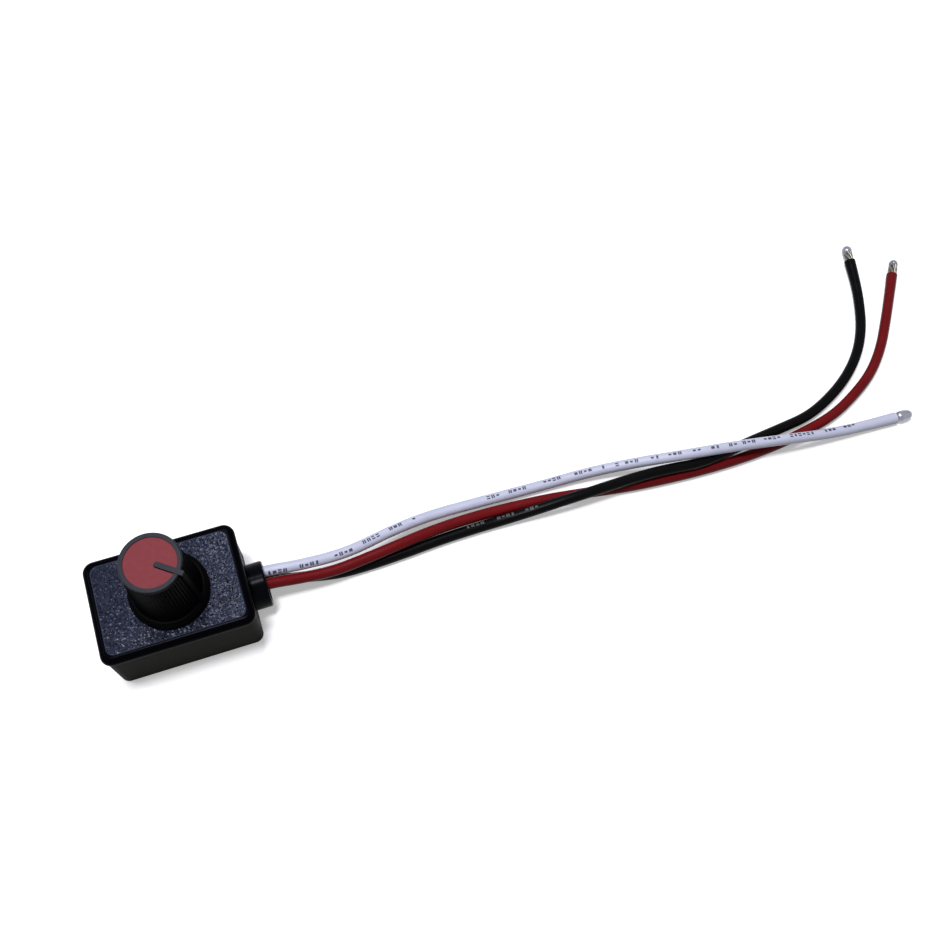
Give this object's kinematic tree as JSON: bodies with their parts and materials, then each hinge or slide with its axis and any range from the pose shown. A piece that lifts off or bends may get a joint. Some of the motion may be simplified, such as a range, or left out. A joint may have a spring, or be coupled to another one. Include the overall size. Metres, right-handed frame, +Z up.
{
  "type": "pwm dimmer",
  "caption": "Small black box with a ribbed turning knob and hook-up wires, which dims a low-voltage lamp by pulse width.",
  "frame": {"origin": "on the surface that the box stands on, under the middle of the box", "axes": "+X along the box to the cable outlet, +Z up the knob's axis"},
  "size_m": [0.1852, 0.0489, 0.0314],
  "materials": {
    "black_shell_plastic": "moulded ABS, satin black",
    "lid_plastic": "moulded ABS, spark-eroded face with a glossy rounded edge",
    "knob_plastic": "moulded black plastic, ribbed",
    "cap_plastic": "moulded red plastic, satin",
    "shaft_metal": "turned aluminium",
    "plated_steel": "nickel-plated steel",
    "brass_contact": "spring brass",
    "phenolic": "phenolic wafer with carbon track",
    "board_laminate": "glass-epoxy laminate, green mask",
    "chip_epoxy": "moulded epoxy with tinned leads",
    "ceramic": "sintered ceramic chips with tinned ends",
    "can_aluminium": "drawn aluminium can",
    "solder": "tin solder",
    "sealing_compound": "cured black sealing compound",
    "white_insulation": "extruded PVC, white",
    "red_insulation": "extruded PVC, red",
    "black_insulation": "extruded PVC, black",
    "tinned_copper": "tinned stranded copper"
  },
  "bodies": {
    "housing": {"base_shell": "black_shell_plastic", "lid": "lid_plastic", "pot_track": "phenolic", "pot_housing": "plated_steel", "pot_bushing": "plated_steel", "pot_washer": "plated_steel", "pot_nut": "plated_steel", "pot_terminals": "plated_steel", "circuit_board": "board_laminate", "mosfet": "chip_epoxy", "controller_chip": "chip_epoxy", "regulator": "chip_epoxy", "flyback_diode": "chip_epoxy", "smoothing_capacitor": "can_aluminium", "chip_resistors": "ceramic", "chip_capacitors": "ceramic", "solder_joints": "solder", "wire_seal": "sealing_compound", "white_wire": "white_insulation", "red_wire": "red_insulation", "black_wire": "black_insulation", "white_wire_tip": "tinned_copper", "red_wire_tip": "tinned_copper", "black_wire_tip": "tinned_copper"},
    "knob": {"knob_body": "knob_plastic", "knob_cap": "cap_plastic", "pot_shaft": "shaft_metal", "pot_rotor": "chip_epoxy", "pot_wiper": "brass_contact"}
  },
  "joints": [
    {"name": "knob_turn", "type": "hinge", "parent": "housing", "child": "knob", "pos_m": [0.0004, 0, 0], "axis": [0, 0, -1], "range_deg": [0, 300]}
  ]
}
